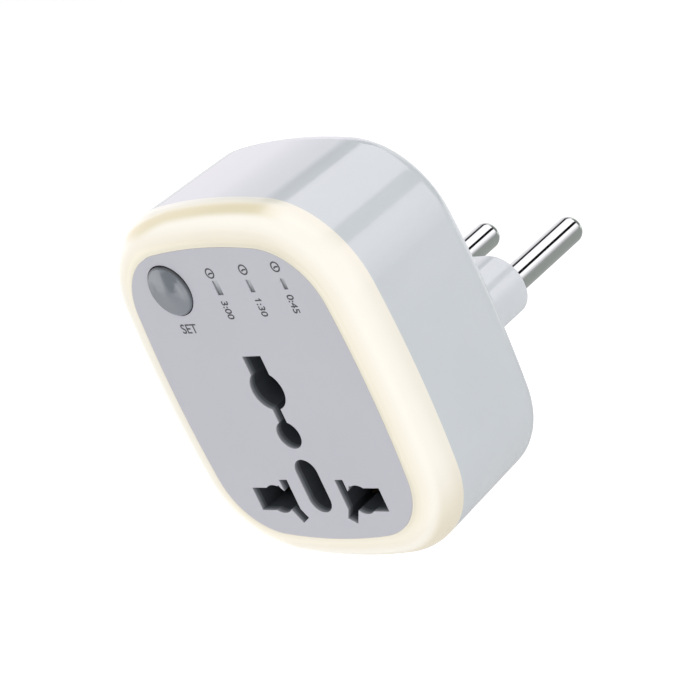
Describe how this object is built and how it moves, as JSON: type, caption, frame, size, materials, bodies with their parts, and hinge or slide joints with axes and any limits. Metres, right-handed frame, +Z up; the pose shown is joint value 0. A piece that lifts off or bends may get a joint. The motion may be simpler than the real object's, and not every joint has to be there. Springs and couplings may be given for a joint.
{
  "type": "plug adapter with timer",
  "caption": "Mains plug adapter with a multi-standard socket, a push-button countdown timer with indicator windows and a night-light ring round the face; round plug pins on a rear boss",
  "frame": {"origin": "Midway between the two plug pins, on the end face of the plug boss, where the wall outlet's face meets it.", "axes": "+Y along the plug pins, out of the back and into the wall; -Y out of the socket face towards the user; +Z up, with the push button above the socket; +X to the user's right."},
  "size_m": [0.0558, 0.0684, 0.0651],
  "materials": {
    "white_case": "glossy white moulding",
    "cream_diffuser": "warm milky translucent moulding",
    "grey_plate": "fine satin grey",
    "charcoal_core": "dull charcoal",
    "grey_button": "polished mid grey",
    "smoke_window": "smoky translucent",
    "nickel_pin": "polished nickel plate",
    "brass_strip": "bare stamped brass",
    "natural_plastic": "natural moulding",
    "green_board": "solder-masked laminate",
    "white_board": "white solder-masked laminate",
    "diode": "clear resin over phosphor",
    "black_part": "moulded black resin",
    "relay_case": "blue relay case",
    "film_case": "yellow film-capacitor case",
    "can_sleeve": "dark sleeve on a drawn can",
    "resistor_body": "lacquered ceramic",
    "screw_steel": "zinc-plated steel",
    "plunger": "black nylon"
  },
  "bodies": {
    "housing": {"rear_housing": "white_case", "light_ring": "cream_diffuser", "face_plate": "grey_plate", "aperture_block": "charcoal_core", "socket_core": "charcoal_core", "contact_cover": "charcoal_core", "live_contact": "brass_strip", "neutral_contact": "brass_strip", "live_pin": "nickel_pin", "neutral_pin": "nickel_pin", "pin_retainer": "natural_plastic", "live_strap": "brass_strip", "neutral_strap": "brass_strip", "switched_strap": "brass_strip", "tact_switch": "screw_steel", "indicator_window_long": "smoke_window", "indicator_window_medium": "smoke_window", "indicator_window_short": "smoke_window", "indicator_leds": "diode", "control_board": "green_board", "power_board": "green_board", "lamp_board": "white_board", "ring_leds": "diode", "relay": "relay_case", "film_capacitor": "film_case", "smoothing_capacitor": "can_sleeve", "bridge_rectifier": "black_part", "fuse_resistor": "resistor_body", "controller_chip": "black_part", "board_header": "black_part", "housing_screws": "screw_steel", "board_screws": "screw_steel"},
    "button": {"set_button": "grey_button", "switch_plunger": "plunger"}
  },
  "joints": [
    {"name": "set_press", "type": "slide", "parent": "housing", "child": "button", "axis": [0, 1, 0], "range_m": [0, 0.0005], "stiffness_N_per_m": 2000, "springref_m": -0.0003}
  ]
}
